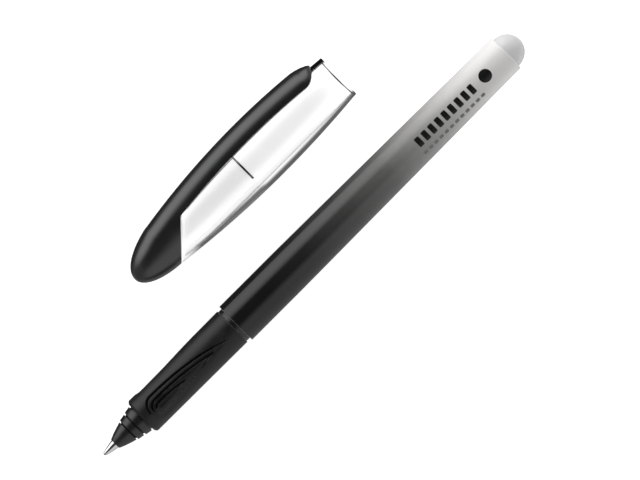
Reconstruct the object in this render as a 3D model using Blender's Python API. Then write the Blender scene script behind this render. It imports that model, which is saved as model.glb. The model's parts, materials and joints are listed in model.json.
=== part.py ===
"""Cartridge rollerball pen with its cap taken off and laid beside it.

Metres, +Z up. The pen lies along X with its point toward -X and its tail toward +X.
The cap lies parallel to it on the +Y side, its mouth toward +X and its clip toward +Y.
The floor is Z = 0, and the origin is under the middle of the whole group.

All driving dimensions are in millimetres. A "station" is a distance along the pen from
its writing point, or along the cap from its nose.
"""

import math

import bmesh
import bpy
from mathutils import Vector

MM = 0.001

# ---- the whole group -----------------------------------------------------------------
PEN_LENGTH = 127.0
BARREL_RADIUS = 5.05
CAP_OFFSET = 22.05  # from the pen's axis to the cap's axis
CAP_NOSE_STATION = 31.5  # where the cap's nose lies along the pen
CAP_BELLY_RADIUS = 6.54
CLIP_CREST = 8.53  # the clip's highest point over the cap's axis

# ---- writing point -------------------------------------------------------------------
BALL_RADIUS = 0.35
CONE_RIM = 0.2
CONE_BASE = 3.39
CONE_END = 7.4
CONE_RADIUS = 1.075
CHANNEL_RADIUS = 0.15
WICK_RADIUS = 0.44
WICK_BORE = 0.52
WICK_START, WICK_END = 1.7, 30.4

# ---- nose cone -----------------------------------------------------------------------
NOSE_END = 11.12
NOSE_SPIGOT_END = 15.0
NOSE_SPIGOT_RADIUS = 3.2
NOSE_GROOVE_DEPTH = 0.3

# ---- section core and grip -----------------------------------------------------------
GRIP_START, GRIP_END = 11.49, 39.23
GRIP_FRONT_RADIUS, GRIP_REAR_RADIUS = 4.34, 4.62
GRIP_EDGE = 0.35
GRIP_PLAY = 0.05  # between the sleeve and the core
CORE_START = 11.6
CORE_FRONT_RADIUS, CORE_REAR_RADIUS = 3.6, 4.1
CORE_STEP = 33.0
NECK_RADIUS = 4.38
LEAF_COUNT = 3
LEAF_FIRST_ANGLE = 103.0  # degrees around the axis, from +Y toward +Z
LEAF_HALF_ANGLE = 40.5
LEAF_FRONT, LEAF_WIDEST, LEAF_POINT = 13.3, 15.6, 36.4
LEAF_DEPTH = 0.3
LEAF_EDGE_ANGLE = 5.0  # the recess reaches its depth over this much of the turn

# ---- screw thread between core and barrel --------------------------------------------
THREAD_SIDES = 32
THREAD_STARTS = 2
THREAD_LEAD = 3.0
THREAD_DATUM = 40.6
CORE_THREAD_ROOT, CORE_THREAD_CREST = 4.15, 4.5
BARREL_THREAD_ROOT, BARREL_THREAD_CREST = 4.6, 4.25
# where each start's ridge begins, tops out, falls and ends, in sides of a turn
RIDGE = (0, 2, 5, 7)
CORE_THREAD_SPAN = (0, 60)
BARREL_THREAD_SPAN = (4, 76)

# ---- ink system ----------------------------------------------------------------------
CARTRIDGE_LENGTH = 38.0
CARTRIDGE_RADIUS = 3.6
CARTRIDGE_WALL = 0.45
CARTRIDGE_NECK_RADIUS = 2.2
CARTRIDGE_MOUTH_RADIUS = 1.35
CARTRIDGE_NECK = 4.6
WORKING_STATION = 35.0
SPARE_STATION = 120.5
SEAL_BALL_RADIUS = 1.25
SEAL_DEPTH = 1.6  # of the ball that seals the unused cartridge, behind its mouth
LOOSE_BALL_STATION = 60.0
COLLECTOR_START, COLLECTOR_END = 12.3, 32.2
COLLECTOR_FIN_RADIUS = 2.6
COLLECTOR_FINS = 11
COLLECTOR_FIRST_FIN = 16.2
COLLECTOR_PITCH = 1.3
COLLECTOR_FIN = 0.45

# ---- barrel --------------------------------------------------------------------------
BARREL_START, BARREL_END = 40.22, 122.8
BARREL_STRAIGHT_END = 56.0
BARREL_TAIL_RADIUS = 4.54
PLUG_RADIUS = 3.93
PLUG_SPIGOT_RADIUS = 3.7
PLUG_START, PLUG_SHOULDER = 120.75, 121.7

# ---- cap -----------------------------------------------------------------------------
CAP_LENGTH = 62.2
CAP_BELLY = 38.7  # station of the widest ring
CAP_BORE_MOUTH, CAP_BORE_DEEP = 4.95, 4.8
CAP_BORE_STRAIGHT_END = 19.5  # nearer the nose than this, the bore follows the body
CAP_WALL = 0.8
CAP_END_WALL = 1.1  # from the split plane to the bore's slanting end
CAP_SPIGOT_RADIUS = 3.4
CAP_SPIGOT_START = 6.6
CAP_BLUNT_END = 9.5  # the nose is blunt up to here, and a shallow arc from here on
# the blunt nose's radius is the root of the station, times a first factor that shrinks with it
NOSE_FACTOR, NOSE_SHRINK = 2.05, 0.057
CREST_FACTOR, CREST_SHRINK = 2.4, 0.038
SKIRT_BELLY = 3.93  # height of the clip's lower edge at the belly
# how far the body, the clip's crest and its lower edge drop, toward the nose and the mouth,
# per square of distance from the belly
NOSE_FALL, MOUTH_FALL = 0.00223, 0.00197
CREST_NOSE_FALL, CREST_MOUTH_FALL = 0.0027, 0.0029
SKIRT_NOSE_FALL, SKIRT_MOUTH_FALL = 0.00266, 0.0031
SPLIT_MIDDLE, SPLIT_SLOPE, SPLIT_LIMIT = 14.1, 0.96, 16.95
SPLIT_SEAM = 0.3
INNER_CAP_RIM = 33.5
INNER_CAP_RADIUS = 4.72
INNER_CAP_BORE = 3.75
INNER_CAP_GAP = 0.12  # all round, between the inner cap and the clear body
INNER_CAP_WALL = 0.97
CLIP_START, CLIP_END = 17.25, 59.25
TIP_STATION, TIP_HEIGHT = 59.3, 5.95
CREST_TAPER, SKIRT_TAPER = 4.8, 4.2  # lengths over which the clip narrows to its tip
CREST_ROUNDNESS, SKIRT_ROUNDNESS = 0.65, 2.2  # exponents of the two curves that meet there
CLIP_GAP = 0.3
CLIP_LIP = 0.3  # the clip's thickness at its lower edges
COVER_CORNER, COVER_CORNER_SHARE = 4.2, 0.95  # corner radius, and its share of the width
CROWN_WIDENING = 1.04
CLIP_HINGE_STATION, CLIP_HINGE_HEIGHT = 17.1, 6.3

SIDES = 32
SMOOTH_ANGLE = math.radians(35)


# ---- building tools ------------------------------------------------------------------


class Skin:
    """Vertices welded by position and the faces between them, in millimetres."""

    def __init__(self):
        self.mesh = bmesh.new()
        self.found = {}

    def vertex(self, point):
        key = tuple(round(value, 5) for value in point)
        if key not in self.found:
            self.found[key] = self.mesh.verts.new(Vector(point) * MM)
        return self.found[key]

    def face(self, points):
        corners = []
        for point in points:
            corner = self.vertex(point)
            if corner not in corners:
                corners.append(corner)
        if len(corners) > 2:
            self.mesh.faces.new(corners)

    def wrap(self, rows, closed=False):
        """Joins each row of points, all the way round, to the next row."""
        pairs = list(zip(rows, rows[1:]))
        if closed:
            pairs.append((rows[-1], rows[0]))
        for row, after in pairs:
            for side in range(len(row)):
                following = (side + 1) % len(row)
                self.face((row[side], after[side], after[following], row[following]))


def around(station, radius, sides=SIDES):
    """A ring of points around the X axis. radius may be a function of the angle."""
    points = []
    for side in range(sides):
        angle = math.tau * side / sides
        size = radius(angle) if callable(radius) else radius
        along = station(angle) if callable(station) else station
        points.append((along, size * math.cos(angle), size * math.sin(angle)))
    return points


def turned(profile, sides=SIDES, skin=None, closed=True):
    """Turns an outline of (station, radius) points around the X axis."""
    skin = skin or Skin()
    skin.wrap([around(station, radius, sides) for station, radius in profile], closed)
    return skin


def ball_profile(radius, steps=6):
    """A half circle from pole to pole."""
    profile = []
    for step in range(steps + 1):
        angle = math.pi * step / steps
        profile.append((-radius * math.cos(angle), radius * math.sin(angle)))
    return profile


def material(name, colour, roughness, metallic=0.0, alpha=1.0):
    made = bpy.data.materials.new(name)
    made.use_nodes = True
    made.diffuse_color = (*colour, alpha)
    shader = made.node_tree.nodes["Principled BSDF"]
    shader.inputs["Base Color"].default_value = (*colour, 1.0)
    shader.inputs["Roughness"].default_value = roughness
    shader.inputs["Metallic"].default_value = metallic
    shader.inputs["Alpha"].default_value = alpha
    return made


def add_part(name, skin, axis, station, look, height=0.0):
    """Makes the object, with its origin on the axis at a station and a height across it."""
    shift = Vector((-station, -height, 0)) * MM
    bmesh.ops.translate(skin.mesh, verts=skin.mesh.verts, vec=shift)
    bmesh.ops.recalc_face_normals(skin.mesh, faces=skin.mesh.faces)
    mesh = bpy.data.meshes.new(name)
    skin.mesh.to_mesh(mesh)
    skin.mesh.free()
    mesh.shade_smooth()
    mesh.set_sharp_from_angle(angle=SMOOTH_ANGLE)
    mesh.materials.append(look)
    part = bpy.data.objects.new(name, mesh)
    bpy.context.scene.collection.objects.link(part)
    part.parent = axis
    part.location = Vector((station, height, 0)) * MM
    return part


def add_axis(name, location):
    axis = bpy.data.objects.new(name, None)
    axis.empty_display_size = 10 * MM
    axis.location = Vector(location) * MM
    bpy.context.scene.collection.objects.link(axis)
    return axis


# ---- screw thread --------------------------------------------------------------------


def add_thread(skin, span, root, crest, shift=0):
    """Wraps a multi-start thread between two plain rings of the root's radius.

    Rows follow the helix. One step along the axis is what the helix rises over one side,
    so every clamped end point falls on the same grid.
    """
    rise = THREAD_LEAD / THREAD_SIDES
    pitch = THREAD_SIDES // THREAD_STARTS
    first, last = span

    def point(row, side):
        ridge, corner = divmod(row, len(RIDGE))
        step = pitch * ridge + RIDGE[corner] + shift + side
        on_ridge = first < step < last and corner in (1, 2)
        radius = crest if on_ridge else root
        angle = math.tau * side / THREAD_SIDES
        along = THREAD_DATUM + rise * min(max(step, first), last)
        return along, radius * math.cos(angle), radius * math.sin(angle)

    lowest = len(RIDGE) * ((first - shift - RIDGE[-1]) // pitch - THREAD_STARTS)
    highest = len(RIDGE) * ((last - shift) // pitch + 1)
    for row in range(lowest, highest):
        for side in range(THREAD_SIDES):
            skin.face(
                (
                    point(row, side),
                    point(row + 1, side),
                    point(row + 1, side + 1),
                    point(row, side + 1),
                )
            )


def thread_ends(span):
    rise = THREAD_LEAD / THREAD_SIDES
    return THREAD_DATUM + rise * span[0], THREAD_DATUM + rise * span[1]


# ---- writing point and nose ----------------------------------------------------------


def writing_ball():
    return turned(
        [(BALL_RADIUS + along, radius) for along, radius in ball_profile(BALL_RADIUS, 8)],
        16,
        closed=False,
    )


def point_cone():
    """A drawn steel cone: rim, ogive, straight shank, then the bore back to the ball's seat."""
    return turned(
        [
            (CONE_RIM, 0.43),
            (0.7, 0.58),
            (1.6, 0.8),
            (2.5, 0.97),
            (CONE_BASE, CONE_RADIUS),
            (CONE_END, CONE_RADIUS),
            (CONE_END, WICK_BORE),
            (1.6, WICK_BORE),
            (1.1, CHANNEL_RADIUS),
            (0.76, CHANNEL_RADIUS),
            (0.47, 0.385),
            (0.34, 0.385),
            (CONE_RIM, 0.345),
        ],
        24,
    )


def point_adapter():
    """The bush that centres the shank in the nose."""
    start, step, end = 5.6, 8.0, 11.2
    outside, shank_bore = 1.54, CONE_RADIUS + 0.055
    return turned(
        [
            (start, outside),
            (end, outside),
            (end, WICK_BORE),
            (step, WICK_BORE),
            (step, shank_bore),
            (start, shank_bore),
        ],
        24,
    )


def ink_wick():
    outline = [
        (WICK_START, 0),
        (WICK_START, WICK_RADIUS),
        (WICK_END, WICK_RADIUS),
        (WICK_END, 0),
    ]
    return turned(outline, 12, closed=False)


def nose_cone():
    """Three stepped rings parted by two grooves, with a spigot that plugs into the core."""
    groove = NOSE_GROOVE_DEPTH
    return turned(
        [
            (CONE_BASE, 1.2),
            (CONE_BASE, 1.32),
            (4.6, 1.85),
            (6.0, 2.31),
            (7.32, 2.64),
            (7.36, 2.64 - groove),
            (7.67, 2.87 - groove),
            (7.71, 2.87),
            (9.16, 3.11),
            (9.2, 3.11 - groove),
            (9.57, 3.28 - groove),
            (9.61, 3.28),
            (NOSE_END, 3.56),
            (NOSE_END, NOSE_SPIGOT_RADIUS),
            (NOSE_SPIGOT_END, NOSE_SPIGOT_RADIUS),
            (NOSE_SPIGOT_END, 2.5),
            (12.0, 2.5),
            (12.0, 1.62),
            (5.4, 1.62),
            (5.4, 1.14),
            (CONE_BASE + 0.1, 1.14),
        ]
    )


# ---- section -------------------------------------------------------------------------


def section_core():
    """The rigid tube inside the grip, with the neck ring and the male thread behind it."""
    skin = Skin()
    thread_start, thread_end = thread_ends(CORE_THREAD_SPAN)
    turned(
        [
            (thread_end, CORE_THREAD_ROOT),
            (thread_end + 0.2, 4.0),
            (thread_end + 0.2, 3.72),
            (33.9, 3.72),
            (33.6, 3.0),
            (15.3, 3.0),
            (15.3, 3.26),
            (CORE_START, 3.26),
            (CORE_START, CORE_FRONT_RADIUS),
            (CORE_STEP, CORE_FRONT_RADIUS),
            (CORE_STEP + 0.3, CORE_REAR_RADIUS),
            (GRIP_END + 0.03, CORE_REAR_RADIUS),
            (GRIP_END + 0.03, NECK_RADIUS),
            (BARREL_START - 0.04, NECK_RADIUS),
            (BARREL_START, CORE_THREAD_ROOT),
            (thread_start, CORE_THREAD_ROOT),
        ],
        THREAD_SIDES,
        skin,
        closed=False,
    )
    add_thread(skin, CORE_THREAD_SPAN, CORE_THREAD_ROOT, CORE_THREAD_CREST)
    return skin


def leaf_depth(station, angle):
    """How deep the grip's leaf-shaped recesses are: round in front, pointed behind."""
    if not LEAF_FRONT < station < LEAF_POINT:
        return 0.0
    if station < LEAF_WIDEST:
        reach = (LEAF_WIDEST - station) / (LEAF_WIDEST - LEAF_FRONT)
        half = LEAF_HALF_ANGLE * math.sqrt(1 - reach**2)
    else:
        reach = (station - LEAF_WIDEST) / (LEAF_POINT - LEAF_WIDEST)
        half = LEAF_HALF_ANGLE * (1 - reach**2)
    spacing = 360 / LEAF_COUNT
    turn = (math.degrees(angle) - LEAF_FIRST_ANGLE + spacing / 2) % spacing - spacing / 2
    inside = (half - abs(turn)) / LEAF_EDGE_ANGLE
    return LEAF_DEPTH * min(max(inside, 0.0), 1.0)


def grip_sleeve():
    """A moulded rubber sleeve, with a finger recess for the thumb and each of two fingers."""
    sides, rows = 48, 26

    def outer(station):
        share = (station - GRIP_START) / (GRIP_END - GRIP_START)
        plain = GRIP_FRONT_RADIUS + (GRIP_REAR_RADIUS - GRIP_FRONT_RADIUS) * share
        return around(station, lambda angle: plain - leaf_depth(station, angle), sides)

    front, rear = GRIP_START + GRIP_EDGE, GRIP_END - GRIP_EDGE / 2
    skin = Skin()
    outline = [around(GRIP_START, GRIP_FRONT_RADIUS - GRIP_EDGE, sides)]
    outline += [outer(front + (rear - front) * row / rows) for row in range(rows + 1)]
    for station, radius in (
        (GRIP_END, GRIP_REAR_RADIUS - GRIP_EDGE / 2),
        (GRIP_END, CORE_REAR_RADIUS + GRIP_PLAY),
        (CORE_STEP - GRIP_PLAY, CORE_REAR_RADIUS + GRIP_PLAY),
        (CORE_STEP - 0.4, CORE_FRONT_RADIUS + GRIP_PLAY),
        (GRIP_START, CORE_FRONT_RADIUS + GRIP_PLAY),
    ):
        outline.append(around(station, radius, sides))
    skin.wrap(outline, closed=True)
    return skin


# ---- ink system ----------------------------------------------------------------------


def ink_collector():
    """A rod with thin fins that hold the ink which warmth drives out of the cartridge."""
    core, bore, socket = 1.3, WICK_BORE, 0.93
    outline = [(COLLECTOR_START, core)]
    for fin in range(COLLECTOR_FINS):
        start = COLLECTOR_FIRST_FIN + COLLECTOR_PITCH * fin
        outline += [
            (start, core),
            (start, COLLECTOR_FIN_RADIUS),
            (start + COLLECTOR_FIN, COLLECTOR_FIN_RADIUS),
            (start + COLLECTOR_FIN, core),
        ]
    socket_start = COLLECTOR_END - 1.7
    outline += [
        (COLLECTOR_END, core),
        (COLLECTOR_END, socket),
        (socket_start, socket),
        (socket_start, bore),
        (COLLECTOR_START, bore),
    ]
    return turned(outline, 20)


def collector_sleeve():
    return turned([(15.6, 2.93), (32.0, 2.93), (32.0, 2.72), (15.6, 2.72)], 20)


def piercing_tube():
    """The spike that opens the cartridge, on a flange."""
    return turned(
        [
            (30.8, 0.86),
            (32.5, 0.86),
            (32.5, 2.6),
            (33.2, 2.6),
            (33.2, 0.86),
            (37.5, 0.86),
            (38.0, 0.6),
            (38.0, 0.45),
            (30.8, 0.45),
        ],
        20,
    )


def cartridge(mouth, toward_tail):
    """A thin-walled ink cartridge with a narrow neck. Its mouth is open, as it is once pierced."""
    neck, body, end = CARTRIDGE_NECK, CARTRIDGE_NECK + 0.4, CARTRIDGE_LENGTH
    inside = CARTRIDGE_RADIUS - CARTRIDGE_WALL
    outline = [
        (0, CARTRIDGE_MOUTH_RADIUS),
        (0, CARTRIDGE_NECK_RADIUS),
        (neck, CARTRIDGE_NECK_RADIUS),
        (body, CARTRIDGE_RADIUS),
        (end - 0.5, CARTRIDGE_RADIUS),
        (end, CARTRIDGE_RADIUS - 0.5),
        (end, 0),
        (end - CARTRIDGE_WALL, 0),
        (end - CARTRIDGE_WALL, inside - 0.5),
        (end - CARTRIDGE_WALL - 0.5, inside),
        (body + CARTRIDGE_WALL, inside),
        (neck + CARTRIDGE_WALL, CARTRIDGE_MOUTH_RADIUS),
    ]
    way = 1 if toward_tail else -1
    return turned([(mouth + way * along, radius) for along, radius in outline], 24)


def seal_ball(station):
    outline = [(station + along, radius) for along, radius in ball_profile(SEAL_BALL_RADIUS)]
    return turned(outline, 12, closed=False)


# ---- barrel --------------------------------------------------------------------------


def barrel_radius(station):
    if station < BARREL_STRAIGHT_END:
        return BARREL_RADIUS
    share = (station - BARREL_STRAIGHT_END) / (BARREL_END - BARREL_STRAIGHT_END)
    return BARREL_RADIUS + (BARREL_TAIL_RADIUS - BARREL_RADIUS) * share


def barrel_tube():
    """A tapered tube, threaded inside its front end and recessed at its tail for the plug."""
    skin = Skin()
    thread_start, thread_end = thread_ends(BARREL_THREAD_SPAN)
    outer = []
    for station in (BARREL_END - 0.3, 104, 80, BARREL_STRAIGHT_END):
        outer.append((station, barrel_radius(station)))
    turned(
        [
            (thread_end, BARREL_THREAD_ROOT),
            (thread_end + 0.5, BARREL_THREAD_ROOT),
            (50.0, 4.0),
            (75.0, 3.8),
            (PLUG_SHOULDER - 0.1, 3.78),
            (PLUG_SHOULDER - 0.1, PLUG_RADIUS + 0.07),
            (BARREL_END, PLUG_RADIUS + 0.07),
            (BARREL_END, BARREL_TAIL_RADIUS - 0.2),
            *outer,
            (BARREL_START + 0.2, BARREL_RADIUS),
            (BARREL_START, BARREL_RADIUS - 0.15),
            (BARREL_START, BARREL_THREAD_ROOT),
            (thread_start, BARREL_THREAD_ROOT),
        ],
        THREAD_SIDES,
        skin,
        closed=False,
    )
    halfway = THREAD_SIDES // THREAD_STARTS // 2
    add_thread(skin, BARREL_THREAD_SPAN, BARREL_THREAD_ROOT, BARREL_THREAD_CREST, halfway)
    return skin


def tail_plug():
    """A domed end plug with a spigot."""
    dome_steps = 5
    dome = []
    for step in range(dome_steps + 1):
        angle = math.pi / 2 * step / dome_steps
        along = BARREL_END + (PEN_LENGTH - BARREL_END) * math.sin(angle)
        dome.append((along, PLUG_RADIUS * math.cos(angle)))
    spigot = [
        (PLUG_START, 0),
        (PLUG_START, PLUG_SPIGOT_RADIUS - 0.1),
        (PLUG_START + 0.15, PLUG_SPIGOT_RADIUS),
        (PLUG_SHOULDER, PLUG_SPIGOT_RADIUS),
        (PLUG_SHOULDER, PLUG_RADIUS),
    ]
    return turned([*spigot, *dome], closed=False)


# ---- cap -----------------------------------------------------------------------------


def body_radius(station):
    """The cap's round body: a barrel shape with its belly at CAP_BELLY and a blunt nose."""
    if station < CAP_BLUNT_END:
        return math.sqrt(station) * (NOSE_FACTOR - NOSE_SHRINK * station)
    fall = NOSE_FALL if station < CAP_BELLY else MOUTH_FALL
    return CAP_BELLY_RADIUS - fall * (station - CAP_BELLY) ** 2


def crest_fade(station):
    """1 along the clip, falling to 0 in a round curve at its free end."""
    share = min(max(TIP_STATION - station, 0) / CREST_TAPER, 1)
    return (1 - (1 - share) ** 2) ** CREST_ROUNDNESS


def skirt_rise(station):
    """0 along the clip, rising to 1 at its free end."""
    share = 1 - (TIP_STATION - station) / SKIRT_TAPER
    return min(max(share, 0), 1) ** SKIRT_ROUNDNESS


def crest_height(station):
    """The top of the crown and clip over the cap's axis."""
    if station < CAP_BLUNT_END:
        return math.sqrt(station) * (CREST_FACTOR - CREST_SHRINK * station)
    fall = CREST_NOSE_FALL if station < CAP_BELLY else CREST_MOUTH_FALL
    height = CLIP_CREST - fall * (station - CAP_BELLY) ** 2
    return TIP_HEIGHT + (height - TIP_HEIGHT) * crest_fade(station)


def skirt_height(station):
    """The clip's lower edge over the cap's axis, which runs on as the foot of the flanks."""
    fall = SKIRT_NOSE_FALL if station < CAP_BELLY else SKIRT_MOUTH_FALL
    height = SKIRT_BELLY - fall * (station - CAP_BELLY) ** 2
    return height + (TIP_HEIGHT - height) * skirt_rise(station)


def clip_half_width(station):
    """Half the clip's width, so that its lower edges stand out from the clear body."""
    edge = body_radius(station) + CLIP_GAP + CLIP_LIP
    return math.sqrt(max(edge**2 - skirt_height(station) ** 2, 0.01))


def cover_corner(station, half_width):
    """Radius of the round corners between the crest and the flanks."""
    rise = crest_height(station) - skirt_height(station)
    return min(COVER_CORNER, COVER_CORNER_SHARE * half_width, rise)


def cover_row(station, half_width, corner_steps=4):
    """Points across the clip: up one flank, over the flat crest and down the other."""
    corner = cover_corner(station, half_width)
    height, across = crest_height(station) - corner, half_width - corner
    side = [(skirt_height(station), half_width)]
    for step in range(corner_steps + 1):
        turn = math.pi / 2 * step / corner_steps
        side.append((height + corner * math.sin(turn), across + corner * math.cos(turn)))
    other = [(height, -across) for height, across in side[::-1]]
    return [(station, height, across) for height, across in side + other]


def crown_radius(station, angle):
    """The crown: flat crest, round corners and upright flanks, and an oval below them."""
    crest, skirt = crest_height(station), skirt_height(station)
    half_width = CROWN_WIDENING * body_radius(station)
    corner = cover_corner(station, half_width)
    height, across = crest - corner, half_width - corner
    up, out = math.cos(angle), abs(math.sin(angle))
    if crest * out < across * up:
        return crest / up
    if half_width * up >= height * out:
        offset = height * out - across * up
        return height * up + across * out + math.sqrt(corner**2 - offset**2)
    if half_width * up >= skirt * out:
        return half_width / out
    depth = skirt + body_radius(station)
    square = (up / depth) ** 2 + (out / half_width) ** 2
    linear = up * skirt / depth**2
    rest = (skirt / depth) ** 2 - 1
    return (linear + math.sqrt(linear**2 - square * rest)) / square


def split_station(angle, radius=None):
    """The slanting plane where the crown meets the clear body, on its surface or at a radius."""
    station = SPLIT_MIDDLE
    for _ in range(12):
        height = (radius or body_radius(station)) * math.cos(angle)
        station = min(SPLIT_MIDDLE + SPLIT_SLOPE * height, SPLIT_LIMIT)
    return station


def cap_crown():
    """The nose of the cap, with a socket for the clear body's spigot."""
    steps = 9
    socket = CAP_SPIGOT_RADIUS + 0.06
    rows = [around(0, 0)]
    for step in range(1, steps + 1):
        share = (step / steps) ** 2
        rows.append(
            around(
                lambda angle: share * split_station(angle),
                lambda angle: crown_radius(share * split_station(angle), angle),
            )
        )
    rows.append(around(lambda angle: split_station(angle, socket), socket))
    rows.append(around(CAP_SPIGOT_START - 0.1, socket))
    rows.append(around(CAP_SPIGOT_START - 0.1, 0))
    skin = Skin()
    skin.wrap(rows)
    return skin


def slanting_end(widest, wall, offset):
    """The rings that close a hollow behind the split plane.

    The hollow is no wider than widest, keeps a wall's distance from the body's surface and
    ends in parallel with the plane, at an offset from it.
    """

    def end(angle):
        station = SPLIT_MIDDLE
        for _ in range(12):
            height = hollow(station) * math.cos(angle)
            station = min(SPLIT_MIDDLE + SPLIT_SLOPE * height, SPLIT_LIMIT) + offset
        return station

    def hollow(station):
        return min(widest, body_radius(station) - wall)

    def between(share):
        def along(angle):
            return CAP_BORE_STRAIGHT_END + (end(angle) - CAP_BORE_STRAIGHT_END) * share

        return around(along, lambda angle: hollow(along(angle)))

    inner_ring = 0.62 * widest
    return [
        *[between(share) for share in (0, 0.4, 0.7, 1)],
        around(lambda angle: split_station(angle, inner_ring) + offset, inner_ring),
        around(SPLIT_MIDDLE + offset, 0),
    ]


def cap_shell():
    """The clear body: a spigot for the crown, the barrel-shaped wall and the bore."""
    nose_steps, mouth_steps = 4, 5
    mouth_edge = CAP_LENGTH - 0.15

    def front(angle, radius=None):
        return split_station(angle, radius) + SPLIT_SEAM

    rows = [
        around(CAP_SPIGOT_START, 0),
        around(CAP_SPIGOT_START, CAP_SPIGOT_RADIUS),
        around(lambda angle: front(angle, CAP_SPIGOT_RADIUS), CAP_SPIGOT_RADIUS),
        around(front, lambda angle: body_radius(front(angle))),
    ]
    for step in range(nose_steps + 1):
        station = CAP_BORE_STRAIGHT_END + (CAP_BELLY - CAP_BORE_STRAIGHT_END) * step / nose_steps
        rows.append(around(station, body_radius(station)))
    for step in range(1, mouth_steps + 1):
        station = CAP_BELLY + (mouth_edge - CAP_BELLY) * step / mouth_steps
        rows.append(around(station, body_radius(station)))
    rows += [
        around(CAP_LENGTH, body_radius(CAP_LENGTH) - 0.12),
        around(CAP_LENGTH, CAP_BORE_MOUTH + 0.1),
        around(CAP_LENGTH - 0.3, CAP_BORE_MOUTH),
        *slanting_end(CAP_BORE_DEEP, CAP_WALL, CAP_END_WALL),
    ]
    skin = Skin()
    skin.wrap(rows)
    return skin


def inner_cap():
    """The cup that seals on the front of the grip and keeps the point from drying."""
    rim, chamfer = INNER_CAP_RIM, 0.2
    outside_wall = CAP_WALL + INNER_CAP_GAP
    outside_offset = CAP_END_WALL + INNER_CAP_GAP
    outside = slanting_end(INNER_CAP_RADIUS, outside_wall, outside_offset)
    inside = slanting_end(
        INNER_CAP_BORE,
        outside_wall + INNER_CAP_WALL,
        outside_offset + INNER_CAP_WALL,
    )
    skin = Skin()
    skin.wrap(
        [
            *outside[::-1],
            around(rim - chamfer, INNER_CAP_RADIUS),
            around(rim, INNER_CAP_RADIUS - chamfer / 2),
            around(rim, INNER_CAP_BORE + chamfer / 2),
            around(rim - chamfer, INNER_CAP_BORE),
            *inside,
        ]
    )
    return skin


def clip_arm():
    """A springy arched cover over the clear body, feathered at its edges and round at its end."""
    front_steps, rear_steps, tip_steps, inside_steps = 6, 5, 5, 10
    taper = TIP_STATION - SKIRT_TAPER
    stations = [CLIP_START]
    for step in range(1, front_steps + 1):
        stations.append(CLIP_START + (CAP_BELLY - CLIP_START) * step / front_steps)
    for step in range(1, rear_steps + 1):
        stations.append(CAP_BELLY + (taper - CAP_BELLY) * step / rear_steps)
    for step in range(1, tip_steps + 1):
        stations.append(CLIP_END - (CLIP_END - taper) * (1 - step / tip_steps) ** 1.6)
    rows = []
    for station in stations:
        lining = body_radius(station) + CLIP_GAP
        edge = (skirt_height(station) + 0.05) / lining
        swing = math.acos(min(edge, math.cos(0.02)))
        row = cover_row(station, clip_half_width(station))
        for step in range(inside_steps + 1):
            turn = -swing * (1 - 2 * step / inside_steps)
            row.append((station, lining * math.cos(turn), lining * math.sin(turn)))
        rows.append(row)
    skin = Skin()
    skin.wrap(rows)
    skin.face(rows[0])
    skin.face(rows[-1])
    return skin


# ---- assembly ------------------------------------------------------------------------


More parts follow.
